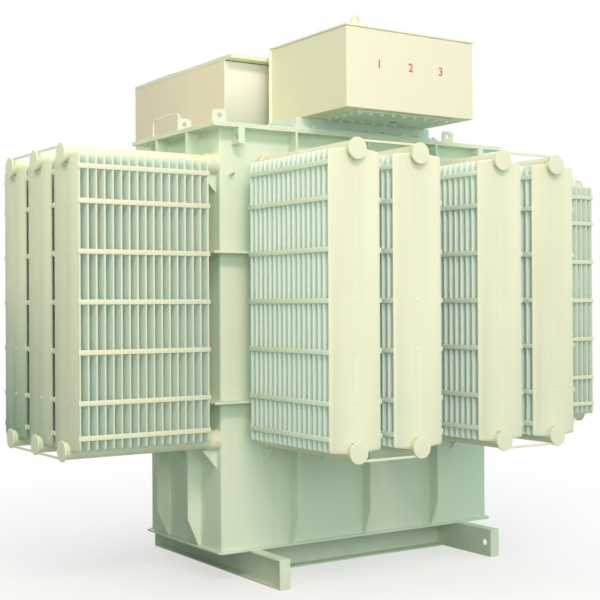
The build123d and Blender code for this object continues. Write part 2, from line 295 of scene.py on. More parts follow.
def bare_metal(name, light, deep, roughness):
    """Zinc-plated steel with faint blotches and fine scratches."""
    material, tree, output = blank_material(name)
    place = tree.nodes.new("ShaderNodeTexCoord").outputs["Object"]
    blotch = remap(tree, noise(tree, place, 60.0, 4.0), 0.35, 0.7, 0.0, 1.0)
    scratch = add_node(tree, "ShaderNodeMapping", {"Vector": place, "Scale": (900.0, 60.0, 60.0)})
    grain = noise(tree, scratch.outputs[0], 1.0, 2.0)
    bump = add_node(tree, "ShaderNodeBump", {"Height": grain, "Strength": 0.15, "Distance": 0.0002})
    shader = add_node(tree, "ShaderNodeBsdfPrincipled", {
        "Base Color": tint(tree, blotch, light, deep), "Metallic": 1.0, "Normal": bump.outputs[0],
        "Roughness": remap(tree, grain, 0.3, 0.7, roughness - 0.08, roughness + 0.10)})
    tree.links.new(shader.outputs[0], output.inputs[0])
    return material


# Dirt; the painted shade of the end panels, by height and from front to back; and the painted
# light and shade on the front of the low-voltage box, by height and by how far a face turns to the front
GRIME = (0.50, 0.51, 0.41, 1.0)
LOW_BACK_SHADE = (0.24, 0.37, 0.24, 1.0)
LOW_BACK_SHADE_HEIGHT = (0.85, 1.66)
LOW_BACK_SHADE_PLACE = (-0.30, 0.37)
LOW_BACK_SHADE_LEAST = 0.15
FRONT_SHADE_HEIGHT = (2.52, 2.84)
FRONT_LIGHT_FACING = (-0.9, -0.6)

# Paints: a light and a deep tone, dirt, roughness and depth of the waves in the plate
RADIATOR_LIGHT = (0.775, 0.81, 0.59, 1.0)
RADIATOR_DEEP = (0.745, 0.78, 0.565, 1.0)
TANK_PAINT = paint("tank_paint", (0.745, 0.86, 0.67, 1.0), (0.71, 0.825, 0.645, 1.0), GRIME, 0.44, 0.004)
RADIATOR_PAINT = paint("radiator_paint", RADIATOR_LIGHT, RADIATOR_DEEP, GRIME, 0.42, 0.002)
# Painted shade: a cooler green for faces between panels and for parts under the boxes
SHADE_GREEN_PAINT = paint("painted_shade_green", (0.715, 0.845, 0.73, 1.0), (0.685, 0.82, 0.71, 1.0),
                    GRIME, 0.42, 0.002)
# Painted light and shade: a paler mint for faces between panels of the front and back rows
GAP_LIGHT_PAINT = paint("painted_gap_light", (0.765, 0.92, 0.80, 1.0), (0.735, 0.895, 0.775, 1.0),
                    GRIME, 0.42, 0.002)
# End panels: radiator paint with a painted shade at their lower back
END_PAINT = paint("end_panel_painted_shade", RADIATOR_LIGHT, RADIATOR_DEEP, GRIME, 0.42, 0.002, low_back_shade=LOW_BACK_SHADE)
# Low-voltage box: warm beige on its sides stands in for warm light there; its front takes painted light and
# shade
LV_PAINT = paint("low_voltage_box_painted_light", (0.88, 0.785, 0.588, 1.0), (0.855, 0.765, 0.57, 1.0),
                 GRIME, 0.43, 0.003, front=((0.54, 0.62, 0.48, 1.0), (0.93, 0.95, 0.83, 1.0)))
BOX_PAINT = paint("box_paint", (0.81, 0.81, 0.60, 1.0), (0.785, 0.79, 0.58, 1.0), GRIME, 0.43, 0.003)
FRAME_PAINT = paint("frame_paint", (0.79, 0.89, 0.70, 1.0), (0.75, 0.85, 0.67, 1.0), GRIME, 0.47, 0.002)
# Painted highlight: a lighter paint on the rounded edge strips
EDGE_HIGHLIGHT_PAINT = paint("painted_edge_highlight", (0.84, 0.86, 0.68, 1.0), (0.79, 0.82, 0.64, 1.0), GRIME, 0.38, 0.001)
NUMBER_PAINT = paint("number_paint", (0.70, 0.15, 0.13, 1.0), (0.60, 0.10, 0.09, 1.0),
                     (0.45, 0.16, 0.12, 1.0), 0.40, 0.001)
STUD_METAL = bare_metal("stud_metal", (0.56, 0.60, 0.53, 1.0), (0.44, 0.48, 0.42, 1.0), 0.36)
# Painted shade in the lid joint: a near-black strip
JOINT_SHADE_PAINT = paint("painted_joint_shade", (0.060, 0.064, 0.058, 1.0), (0.045, 0.048, 0.043, 1.0),
                      (0.07, 0.07, 0.06, 1.0), 0.7, 0.001)
# Painted shade inside the cable entry
HOLE_SHADE_PAINT = paint("painted_hole_shade", (0.018, 0.022, 0.018, 1.0), (0.012, 0.014, 0.012, 1.0),
                  (0.02, 0.02, 0.015, 1.0), 0.8, 0.001)

# Paints of the radiators by wall; gap paint, painted light and shade, covers faces between panels that are
# flat enough
# Straps of the front and back rows take the greener tank paint, standing in for cool shade along the rows'
# sides
STRAP_PAINTS = {"front": TANK_PAINT, "right": RADIATOR_PAINT, "back": TANK_PAINT, "left": RADIATOR_PAINT}
PANEL_PAINTS = {"front": RADIATOR_PAINT, "right": END_PAINT, "back": RADIATOR_PAINT, "left": END_PAINT}
GAP_LIGHT_AND_SHADE_PAINTS = {"front": GAP_LIGHT_PAINT, "right": SHADE_GREEN_PAINT, "back": GAP_LIGHT_PAINT, "left": SHADE_GREEN_PAINT}
GAP_FLATNESS = {"front": -1.0, "right": 0.5, "back": -1.0, "left": 0.5}


# Mesh helpers
def link(name, mesh):
    """A new object at the origin."""
    piece = bpy.data.objects.new(name, mesh)
    bpy.context.scene.collection.objects.link(piece)
    return piece


def to_mesh(name, shape, materials, sharp_degrees=SHARP_DEGREES):
    """Finish a bmesh: outward faces, smooth shading except at real edges."""
    bmesh.ops.recalc_face_normals(shape, faces=shape.faces)
    for face in shape.faces:
        face.smooth = True
    for edge in shape.edges:
        edge.smooth = len(edge.link_faces) == 2 and edge.calc_face_angle() < math.radians(sharp_degrees)
    mesh = bpy.data.meshes.new(name)
    shape.to_mesh(mesh)
    shape.free()
    for material in materials:
        mesh.materials.append(material)
    return mesh


def made_mesh(piece):
    """The plain mesh that a piece's curve or modifiers make."""
    return bpy.data.meshes.new_from_object(piece.evaluated_get(bpy.context.evaluated_depsgraph_get()))


def firm(piece):
    """Let broad flat faces keep their own shading beside narrow rounded strips."""
    modifier = piece.modifiers.new("firm", "WEIGHTED_NORMAL")
    modifier.keep_sharp = True
    made = made_mesh(piece)
    piece.modifiers.remove(modifier)
    piece.data = made
    return piece


def keep(piece, slot, *nodes):
    """Let a finished piece ride on the fixed body and stand for its CAD nodes."""
    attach(piece, "root")
    if nodes:
        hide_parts(*nodes)


def merged_copy(node):
    """The CAD piece's mesh with shared corners and whole flat faces."""
    shape = bmesh.new()
    shape.from_mesh(frame["nodes"][node].data)
    bmesh.ops.remove_doubles(shape, verts=shape.verts, dist=1e-5)
    bmesh.ops.dissolve_limit(shape, angle_limit=math.radians(1.0), verts=shape.verts, edges=shape.edges)
    return shape


def soften(shape, width):
    """Round the edges a little; the rounded strips take the second material."""
    least = math.radians(SHARP_DEGREES)
    sharp = [e for e in shape.edges if len(e.link_faces) == 2 and e.calc_face_angle() > least]
    bmesh.ops.bevel(shape, geom=sharp, offset=width, offset_type="OFFSET", segments=2, profile=0.5,
                    affect="EDGES", clamp_overlap=False, material=1)


def dress(node, finish, slot, width):
    """A CAD piece with softened edges, lighter as a painted highlight, in the place of the plain one."""
    shape = merged_copy(node)
    soften(shape, width)
    piece = link(f"{node}_dressed", to_mesh(node, shape, (finish, EDGE_HIGHLIGHT_PAINT), 50.0))
    keep(firm(piece), slot, node)


def solids_of(node):
    """Lowest and highest corner of every separate solid in a CAD node."""
    shape = merged_copy(node)
    left = set(shape.verts)
    boxes = []
    while left:
        reached = {left.pop()}
        front = list(reached)
        while front:
            corner = front.pop()
            for edge in corner.link_edges:
                other = edge.other_vert(corner)
                if other in left:
                    left.discard(other)
                    reached.add(other)
                    front.append(other)
        boxes.append(tuple(
            Vector(pick(v.co[axis] for v in reached) for axis in range(3)) for pick in (min, max)))
    shape.free()
    return boxes


def bar(shape, low, high):
    """A plain block between two corners."""
    size = Vector(high) - Vector(low)
    place = Matrix.Translation((Vector(high) + Vector(low)) / 2) @ Matrix.Diagonal((*size, 1.0))
    bmesh.ops.create_cube(shape, size=1.0, matrix=place)


def lathe(shape, profile, axis_point, axis, segments):
    """Turn a profile of (radius, height) points about an axis into a closed solid."""
    axis = Vector(axis)
    across = axis.orthogonal().normalized()
    foot = Vector(axis_point)
    corners = [shape.verts.new(foot + across * radius + axis * height) for radius, height in profile]
    edges = [shape.edges.new(pair) for pair in zip(corners, corners[1:])]
    bmesh.ops.spin(shape, geom=corners + edges, cent=axis_point, axis=axis, angle=math.tau, steps=segments,
                   use_duplicate=False)
    bmesh.ops.remove_doubles(shape, verts=shape.verts, dist=1e-6)


def wall_frame(side):
    """From wall coordinates, with the wall's face at Y = 0 and outwards along -Y, to the row frame."""
    low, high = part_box(f"{side}_wall")
    reach = {"front": -low.y, "right": high.x, "back": high.y, "left": -low.x}[side]
    return Matrix.Rotation(math.radians(SIDES[side]), 4, "Z") @ Matrix.Translation((0.0, -reach, 0.0))


def wall_box(side, node):
    """A node's box in wall coordinates."""
    back = wall_frame(side).inverted()
    corners = [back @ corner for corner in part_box(node)]
    return Vector(map(min, *corners)), Vector(map(max, *corners))


# Geometry node trees
def start_tree(name, sockets):
    """A geometry tree with a named input for each size, and a paint."""
    tree = bpy.data.node_groups.new(name, "GeometryNodeTree")
    tree.interface.new_socket("Geometry", in_out="OUTPUT", socket_type="NodeSocketGeometry")
    tree.interface.new_socket("Geometry", in_out="INPUT", socket_type="NodeSocketGeometry")
    for label, kind in {**sockets, "Paint": "Material"}.items():
        tree.interface.new_socket(label, in_out="INPUT", socket_type=f"NodeSocket{kind}")
    return tree, tree.nodes.new("NodeGroupInput").outputs


def end_tree(tree, given, geometry, inner=None):
    """Realize the copies, paint them, inner faces in painted gap light and shade where asked, and hand them
    out.
    """
    real = add_node(tree, "GeometryNodeRealizeInstances", {"Geometry": geometry})
    painted = add_node(tree, "GeometryNodeSetMaterial", {
        "Geometry": real.outputs[0], "Material": given["Paint"]})
    if inner:
        painted = add_node(tree, "GeometryNodeSetMaterial", {
            "Geometry": painted.outputs[0], "Selection": inner, "Material": given["Gap Light And Shade Paint"]})
    tree.links.new(painted.outputs[0], tree.nodes.new("NodeGroupOutput").inputs[0])
    return tree


def point_row(tree, count, start, step):
    """Points in a straight row."""
    links = {"Count": count, "Start Location": start, "Offset": step}
    return add_node(tree, "GeometryNodeMeshLine", links).outputs[0]


def set_out(tree, points, item, **more):
    """One copy of an item on every point."""
    links = {"Points": points, "Instance": item, **more}
    return add_node(tree, "GeometryNodeInstanceOnPoints", links).outputs[0]


def panel_row_tree():
    """One pressed panel repeated outwards from the wall; faces between panels take painted light and shade
    for the gaps.
    """
    tree, given = start_tree("panel row", {
        "Panels": "Int", "First Panel": "Vector", "Pitch": "Vector", "Outer Face": "Float",
        "Least Flatness": "Float", "Gap Light And Shade Paint": "Material"})
    row = point_row(tree, given["Panels"], given["First Panel"], given["Pitch"])
    copies = set_out(tree, row, given["Geometry"])
    place = coordinate(tree, tree.nodes.new("GeometryNodeInputPosition").outputs[0], "Y")
    facing = coordinate(tree, tree.nodes.new("GeometryNodeInputNormal").outputs[0], "Y")
    inside = calculate(tree, "GREATER_THAN", place, given["Outer Face"])
    flatness = calculate(tree, "ABSOLUTE", facing)
    broad = calculate(tree, "GREATER_THAN", flatness, given["Least Flatness"])
    return end_tree(tree, given, copies, calculate(tree, "MULTIPLY", inside, broad))


def strap_ladder_tree():
    """One pair of straps repeated up the panels: an even row, and one more pair near each end."""
    tree, given = start_tree("strap ladder", {
        "Inner Straps": "Int", "Lowest Inner": "Vector", "Spacing": "Vector", "Lowest": "Vector",
        "End To End": "Vector"})
    inner = point_row(tree, given["Inner Straps"], given["Lowest Inner"], given["Spacing"])
    ends = point_row(tree, 2, given["Lowest"], given["End To End"])
    levels = tree.nodes.new("GeometryNodeJoinGeometry")
    for row in (inner, ends):
        tree.links.new(row, levels.inputs[0])
    return end_tree(tree, given, set_out(tree, levels.outputs[0], given["Geometry"]))


def header_tree():
    """One lathe-turned header set out on the points of a wall."""
    tree, given = start_tree("headers", {"Header": "Object"})
    item = add_node(tree, "GeometryNodeObjectInfo", {"Object": given["Header"]})
    return end_tree(tree, given, set_out(tree, given["Geometry"], item.outputs["Geometry"]))


def bolt_tree():
    """A hexagon bolt with its washer on every point, each turned by chance."""
    tree, given = start_tree("bolts", {
        "Head Radius": "Float", "Head Height": "Float", "Washer Radius": "Float",
        "Washer Thickness": "Float", "Head Rise": "Vector", "Washer Rise": "Vector",
        "Chamfer Rise": "Vector", "Chamfer Height": "Float", "Chamfer Radius": "Float", "Seed": "Int"})
    pieces = tree.nodes.new("GeometryNodeJoinGeometry")
    for sides, lower, upper, depth, rise in (
            (6, "Head Radius", "Head Radius", "Head Height", "Head Rise"),
            (12, "Head Radius", "Chamfer Radius", "Chamfer Height", "Chamfer Rise"),
            (16, "Washer Radius", "Washer Radius", "Washer Thickness", "Washer Rise")):
        cone = add_node(tree, "GeometryNodeMeshCone", {
            "Vertices": sides, "Radius Bottom": given[lower], "Radius Top": given[upper],
            "Depth": given[depth]})
        moved = add_node(tree, "GeometryNodeTransform", {
            "Geometry": cone.outputs[0], "Translation": given[rise]})
        tree.links.new(moved.outputs[0], pieces.inputs[0])
    chance = tree.nodes.new("FunctionNodeRandomValue")
    chance.data_type = "FLOAT"
    chance.inputs[2].default_value = 0.0
    chance.inputs[3].default_value = math.tau
    tree.links.new(given["Seed"], chance.inputs["Seed"])
    turn = add_node(tree, "ShaderNodeCombineXYZ", {"Z": chance.outputs[1]})
    copies = set_out(tree, given["Geometry"], pieces.outputs[0], Rotation=turn.outputs[0])
    return end_tree(tree, given, copies)


def seam_tree():
    """A rippled weld bead along every edge of a drawing of lines."""
    tree, given = start_tree("weld seam", {"Bead Radius": "Float", "Step": "Float", "Ripple": "Float"})
    lines = add_node(tree, "GeometryNodeMeshToCurve", {"Mesh": given["Geometry"]})
    steps = add_node(tree, "GeometryNodeResampleCurve", {
        "Curve": lines.outputs[0], "Length": given["Step"]}, mode="LENGTH")
    ripple = add_node(tree, "ShaderNodeTexNoise", {"Scale": 70.0, "Detail": 1.0})
    centred = add_node(tree, "ShaderNodeVectorMath", {0: ripple.outputs["Color"], 1: (0.5, 0.5, 0.5)},
                       operation="SUBTRACT")
    nudge = add_node(tree, "ShaderNodeVectorMath", {0: centred.outputs[0], "Scale": given["Ripple"]},
                     operation="SCALE")
    moved = add_node(tree, "GeometryNodeSetPosition", {
        "Geometry": steps.outputs[0], "Offset": nudge.outputs[0]})
    ring = add_node(tree, "GeometryNodeCurvePrimitiveCircle", {
        "Resolution": 6, "Radius": given["Bead Radius"]})
    bead = add_node(tree, "GeometryNodeCurveToMesh", {
        "Curve": moved.outputs[0], "Profile Curve": ring.outputs[0], "Fill Caps": True})
    smooth = add_node(tree, "GeometryNodeSetShadeSmooth", {"Geometry": bead.outputs[0]})
    return end_tree(tree, given, smooth.outputs[0])


def grow(name, seed_mesh, tree, sizes):
    """Run a tree on a seed mesh and keep what it makes as a plain mesh."""
    piece = link(name, seed_mesh)
    modifier = piece.modifiers.new("make", "NODES")
    modifier.node_group = tree
    for item in tree.interface.items_tree:
        if item.in_out == "INPUT" and item.name in sizes:
            modifier[item.identifier] = sizes[item.name]
    made = made_mesh(piece)
    piece.modifiers.remove(modifier)
    piece.data = made
    return piece


def points_mesh(name, points):
    """A mesh of bare points."""
    mesh = bpy.data.meshes.new(name)
    mesh.from_pydata([tuple(point) for point in points], [], [])
    return mesh


# Radiators
def panel_outline(height, width, inset):
    """Panel edge: cut corners, shoulders that rise to the pipe, and a round seat for the pipe."""
    half = width / 2 - inset
    top = height / 2 - inset
    axis = height / 2 + HEADER_RISE
    seat = HEADER_RADIUS + inset
    start = math.asin((PANEL_SHOULDER - HEADER_RISE - inset) / seat)
    sweep = (math.pi + 2 * start) / PANEL_SEAT_STEPS
    angles = [start - step * sweep for step in range(PANEL_SEAT_STEPS + 1)]
    upper = [(half, top - PANEL_CORNER), (half - PANEL_CORNER, top)]
    upper += [(seat * math.cos(angle), axis + seat * math.sin(angle)) for angle in angles]
    upper += [(PANEL_CORNER - half, top), (-half, top - PANEL_CORNER)]
    return upper + [(-across, -up) for across, up in upper]


def panel_mesh(width, height):
    """Two pressed sheets: thin rim, raised face and a shallow valley down the middle."""
    shape = bmesh.new()
    rim = panel_outline(height, width, 0.0)
    raised = panel_outline(height, width, PANEL_RIM_WIDTH)
    count = len(rim)
    half_count = count // 2
    # Outline places beside the valley's ends; left skips one point of the seat, which stays open there
    right, middle, left = 3, half_count // 2, half_count - 4
    rims = []
    for sign in (-1, 1):
        edge = [shape.verts.new((x, sign * PANEL_RIM / 2, z)) for x, z in rim]
        face = [shape.verts.new((x, sign * PANEL_THICKNESS / 2, z)) for x, z in raised]
        rims.append(edge)
        for index in range(count):
            after = (index + 1) % count
            shape.faces.new((edge[index], edge[after], face[after], face[index]))
        depth = sign * (PANEL_THICKNESS / 2 - VALLEY_DEPTH)
        end = height / 2 - VALLEY_END
        wide = VALLEY_HALF_WIDTH
        corners = ((wide, end), (-wide, end), (-wide, -end), (wide, -end))
        floor = [shape.verts.new((x, depth, z)) for x, z in corners]
        upper = [face[right + 1], face[middle], face[left]]
        lower = [face[half_count + right + 1], face[half_count + middle], face[half_count + left]]
        shape.faces.new([*face[half_count + left:], *face[:right + 2]])
        shape.faces.new(face[left:half_count + right + 2])
        shape.faces.new(floor)
        shape.faces.new((upper[0], floor[0], floor[3], lower[2]))
        shape.faces.new((upper[2], floor[1], floor[2], lower[0]))
        for trio, near, far in ((upper, floor[0], floor[1]), (lower, floor[2], floor[3])):
            shape.faces.new(trio)
            shape.faces.new((trio[0], trio[2], far, near))
    for index in range(count):
        after = (index + 1) % count
        shape.faces.new((rims[0][index], rims[0][after], rims[1][after], rims[1][index]))
    return to_mesh("panel", shape, (RADIATOR_PAINT,), 20.0)


def strap_pair_mesh(half_width, row_start, row_end):
    """A strap on each edge of the panels."""
    shape = bmesh.new()
    for sign in (-1, 1):
        left, right = sorted((sign * half_width, sign * (half_width + STRAP_THICKNESS)))
        bar(shape, (left, row_end, -STRAP_HEIGHT / 2), (right, row_start, STRAP_HEIGHT / 2))
    soften(shape, SMALL_EDGE)
    # Straps have one paint, on the rounded strips too
    for face in shape.faces:
        face.material_index = 0
    return to_mesh("strap_pair", shape, (RADIATOR_PAINT,))


def spot_weld_mesh(row_end):
    """A low dome in the valley of the outermost panel."""
    dome = [(0.0, -SPOT_WELD_SINK), (SPOT_WELD_RADIUS, -SPOT_WELD_SINK),
            (SPOT_WELD_RADIUS * 0.72, SPOT_WELD_RISE * 0.75), (0.0, SPOT_WELD_RISE)]
    shape = bmesh.new()
    lathe(shape, dome, (0.0, row_end + VALLEY_DEPTH, 0.0), (0.0, -1.0, 0.0), 14)
    return to_mesh("spot_weld", shape, (RADIATOR_PAINT,))


def radiators():
    """Panels, straps and spot welds of every radiator."""
    row_tree = panel_row_tree()
    ladder_tree = strap_ladder_tree()
    for side in SIDES:
        count = sum(name.startswith(f"{side}_radiator_") for name in frame["nodes"])
        for number in range(1, count + 1):
            node = f"{side}_radiator_{number}"
            low, high = wall_box(side, node)
            centre = (low + high) / 2
            height = high.z - low.z
            width = high.x - low.x - 2 * (STRAP_THICKNESS + STRAP_GAP)
            pitch = (high.y - low.y - PANEL_THICKNESS) / (PANEL_COUNT - 1)
            place = wall_frame(side) @ Matrix.Translation((centre.x, 0.0, centre.z))

            panels = grow(f"{node}_panels", panel_mesh(width, height), row_tree, {
                "Panels": PANEL_COUNT, "First Panel": (0.0, high.y - PANEL_THICKNESS / 2, 0.0),
                "Pitch": (0.0, -pitch, 0.0), "Outer Face": low.y + PANEL_THICKNESS / 2,
                "Least Flatness": GAP_FLATNESS[side],
                "Gap Light And Shade Paint": GAP_LIGHT_AND_SHADE_PAINTS[side], "Paint": PANEL_PAINTS[side]})
            panels.data.transform(place)
            keep(panels, "radiator_paint", node)

            end = height / 2 - STRAP_END_MARGIN
            lowest_inner = -STRAP_SPACING * (STRAP_INNER_COUNT - 1) / 2
            rungs = {
                "straps": (strap_pair_mesh(width / 2 + STRAP_GAP, high.y, low.y), STRAP_PAINTS[side]),
                "welds": (spot_weld_mesh(low.y), RADIATOR_PAINT),
            }
            for kind, (mesh, finish) in rungs.items():
                ladder = grow(f"{node}_{kind}", mesh, ladder_tree, {
                    "Inner Straps": STRAP_INNER_COUNT, "Lowest Inner": (0.0, 0.0, lowest_inner),
                    "Spacing": (0.0, 0.0, STRAP_SPACING), "Lowest": (0.0, 0.0, -end),
                    "End To End": (0.0, 0.0, 2 * end), "Paint": finish})
                ladder.data.transform(place)
                keep(ladder, "radiator_paint")


def headers():
    """Round header pipes with collars, weld rings and end caps on every wall."""
    tree = header_tree()
    for side in SIDES:
        node = f"{side}_headers"
        low, high = wall_box(side, node)
        end = -low.y
        cap = end - CAP_THICKNESS
        pipe, collar, rim = HEADER_RADIUS, COLLAR_RADIUS, CAP_RADIUS
        profile = [
            (0.0, 0.0), (collar + WALL_FILLET, 0.0), (collar + 0.001, WALL_FILLET), (collar, 0.008),
            (collar, COLLAR_LENGTH - COLLAR_CHAMFER), (collar - COLLAR_CHAMFER, COLLAR_LENGTH),
            (pipe + PIPE_FILLET, COLLAR_LENGTH), (pipe, COLLAR_LENGTH + PIPE_FILLET),
            (pipe, cap - 0.006), (pipe + CAP_FILLET, cap),
            (rim - CAP_CHAMFER, cap), (rim, cap + CAP_CHAMFER),
            (rim, end - CAP_ROUND), (rim - 0.001, end - 0.001), (rim - CAP_ROUND, end), (0.0, end)]
        shape = bmesh.new()
        lathe(shape, profile, (0.0, 0.0, 0.0), (0.0, -1.0, 0.0), HEADER_SEGMENTS)
        turned = link("header", to_mesh("header", shape, (RADIATOR_PAINT,), 40.0))
        back = wall_frame(side).inverted()
        middles = [back @ ((a + b) / 2) for a, b in solids_of(node)]
        tops = [high.z - COLLAR_RADIUS, low.z + COLLAR_RADIUS]
        points = [(m.x, 0.0, min(tops, key=lambda level: abs(level - m.z))) for m in middles]
        piece = grow(f"{node}_round", points_mesh(node, points), tree, {
            "Header": turned, "Paint": RADIATOR_PAINT})
        bpy.data.objects.remove(turned)
        piece.data.transform(wall_frame(side))
        keep(firm(piece), "radiator_paint", node)


# Tank
def tank_shell():
    """The four walls as one shell with bent corners."""
    low = Vector(map(min, *(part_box(f"{side}_wall")[0] for side in ("front", "left"))))
    high = Vector(map(max, *(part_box(f"{side}_wall")[1] for side in ("back", "right"))))
    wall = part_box("front_wall")[1].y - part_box("front_wall")[0].y
    shape = bmesh.new()
    loops = []
    for inset in (0.0, wall):
        radius = SHELL_CORNER - inset if inset < SHELL_CORNER else LEAST_CORNER
        outline = []
        for turn, (x, y) in enumerate(((high.x, high.y), (low.x, high.y), (low.x, low.y), (high.x, low.y))):
            centre_x = x - math.copysign(inset + radius, x)
            centre_y = y - math.copysign(inset + radius, y)
            for step in range(SHELL_CORNER_STEPS + 1):
                angle = math.radians(90.0) * (turn + step / SHELL_CORNER_STEPS)
                outline.append((centre_x + radius * math.cos(angle), centre_y + radius * math.sin(angle)))
        loops.append([[shape.verts.new((x, y, z)) for x, y in outline] for z in (low.z, high.z)])
    (outer_low, outer_high), (inner_low, inner_high) = loops
    rounds = (outer_low, outer_high, inner_high, inner_low)
    count = len(outer_low)
    for index in range(count):
        after = (index + 1) % count
        for a, b in zip(rounds, rounds[1:] + rounds[:1]):
            shape.faces.new((a[index], a[after], b[after], b[index]))
    shell = link("tank_shell", to_mesh("tank_shell", shape, (TANK_PAINT,)))
    keep(shell, "tank_paint", *(f"{side}_wall" for side in SIDES))


def upright_seams(node, half_length, half_width):
    """Lines where an upright plate meets the wall, on both of its faces."""
    lines = []
    for low, high in solids_of(node):
        middle = (low + high) / 2
        if abs(middle.y) > half_width:
            y = math.copysign(half_width, middle.y)
            lines += [((x, y, low.z), (x, y, high.z)) for x in (low.x, high.x)]
        else:
            x = math.copysign(half_length, middle.x)
            lines += [((x, y, low.z), (x, y, high.z)) for y in (low.y, high.y)]
    return lines


def closed_line(corners, level):
    """A closed line through corners at one level."""
    return [((*a, level), (*b, level)) for a, b in zip(corners, corners[1:] + corners[:1])]


def round_tank(x, y, level):
    """A line round the tank, of half length x and half width y, at one level."""
    return closed_line([(x, y), (-x, y), (-x, -y), (x, -y)], level)


def foot_seams(node):
    """Lines round the foot of every upright lug on a plate."""
    lines = []
    for low, high in solids_of(node):
        corners = [(low.x, low.y), (high.x, low.y), (high.x, high.y), (low.x, high.y)]
        lines += closed_line(corners, low.z)
    return lines


def weld_seams():
    """Weld beads on the tank, its stiffeners and its lugs."""
    tree = seam_tree()
    half_sizes = (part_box("right_wall")[1].x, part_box("back_wall")[1].y)
    ring_levels = {round(level, 4) for ring in solids_of("tank_rings") for level in (ring[0].z, ring[1].z)}
    tank_low, tank_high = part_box("front_wall")
    drawings = {
        "rib_seams": upright_seams("wall_ribs", *half_sizes),
        "ring_seams": [line for level in sorted(ring_levels) for line in round_tank(*half_sizes, level)],
        "tank_seams": round_tank(*half_sizes, tank_low.z) + round_tank(*half_sizes, tank_high.z),
        "bracket_seams": upright_seams("header_gussets", *half_sizes)
        + upright_seams("lifting_lugs", *half_sizes),
        "lug_seams": foot_seams("cover_lugs") + foot_seams("hv_lugs"),
    }
    for name, lines in drawings.items():
        mesh = bpy.data.meshes.new(name)
        ends = [end for line in lines for end in line]
        mesh.from_pydata(ends, [(2 * index, 2 * index + 1) for index in range(len(lines))], [])
        piece = grow(name, mesh, tree, {
            "Bead Radius": SEAM_RADIUS, "Step": SEAM_STEP, "Ripple": SEAM_RIPPLE, "Paint": TANK_PAINT})
        keep(piece, "tank_paint")


# Bolts
def bolt_line(first, last, pitch):
    """Evenly spread places from one end to the other, about a pitch apart."""
    gaps = max(1, round((last - first) / pitch))
    return [first + (last - first) * step / gaps for step in range(gaps + 1)]


def bolt_frame(low, high, inset, pitch):
    """Places along the four edges of a plate."""
    xs = bolt_line(low.x + inset, high.x - inset, pitch)
    ys = bolt_line(low.y + inset, high.y - inset, pitch)
    long_edges = [(x, y) for x in xs for y in (ys[0], ys[-1])]
    return long_edges + [(x, y) for x in (xs[0], xs[-1]) for y in ys[1:-1]]


def hatch_box():
    """Lowest and highest corner of the raised hatch on the low-voltage lid."""
    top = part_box("lv_lid")[1].z
    corners = [v.co for v in frame["nodes"]["lv_lid"].data.vertices if v.co.z > top - 1e-4]
    return tuple(Vector(pick(c[axis] for c in corners) for axis in range(3)) for pick in (min, max))


def bolts():
    """Bolts under the gland plates, on the hatch and on the flange of the neck."""
    tree = bolt_tree()
    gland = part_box("hv_gland_plate")
    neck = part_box("hv_neck")
    above_foot = neck[0].z + 0.001
    flange_top = min(v.co.z for v in frame["nodes"]["hv_neck"].data.vertices if v.co.z > above_foot)
    lv_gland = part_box("lv_gland_plate")
    hatch = hatch_box()
    rows = {
        # Bolts under the gland plates and on the neck's flange take the green paint as painted shade
        "gland_bolts": (gland, GLAND_BOLT_INSET, GLAND_BOLT_PITCH, gland[0].z, -1, SHADE_GREEN_PAINT),
        "lv_gland_bolts": (lv_gland, GLAND_BOLT_INSET, GLAND_BOLT_PITCH, lv_gland[0].z, -1, SHADE_GREEN_PAINT),
        "hatch_bolts": (hatch, GLAND_BOLT_INSET, FLANGE_BOLT_PITCH, hatch[1].z, 1, BOX_PAINT),
        "flange_bolts": (neck, FLANGE_BOLT_INSET, FLANGE_BOLT_PITCH, flange_top, 1, SHADE_GREEN_PAINT),
    }
    chamfer = BOLT_HEAD * BOLT_CHAMFER
    head = BOLT_HEAD - chamfer
    for seed, (name, (plate, inset, pitch, level, up, finish)) in enumerate(rows.items(), start=1):
        places = [(x, up * y, 0.0) for x, y in bolt_frame(*plate, inset, pitch)]
        piece = grow(name, points_mesh(name, places), tree, {
            "Head Radius": BOLT_WIDTH / math.sqrt(3.0), "Head Height": head,
            "Head Rise": (0.0, 0.0, WASHER_THICKNESS), "Washer Radius": WASHER_WIDTH / 2,
            "Washer Thickness": WASHER_THICKNESS, "Washer Rise": (0.0, 0.0, 0.0),
            "Chamfer Rise": (0.0, 0.0, WASHER_THICKNESS + head), "Chamfer Height": chamfer,
            "Chamfer Radius": BOLT_WIDTH * BOLT_CHAMFER_TOP, "Seed": seed, "Paint": finish})
        turn = Matrix.Identity(4) if up > 0 else Matrix.Rotation(math.pi, 4, "X")
        piece.data.transform(Matrix.Translation((0.0, 0.0, level)) @ turn)
        keep(piece, "box_paint")


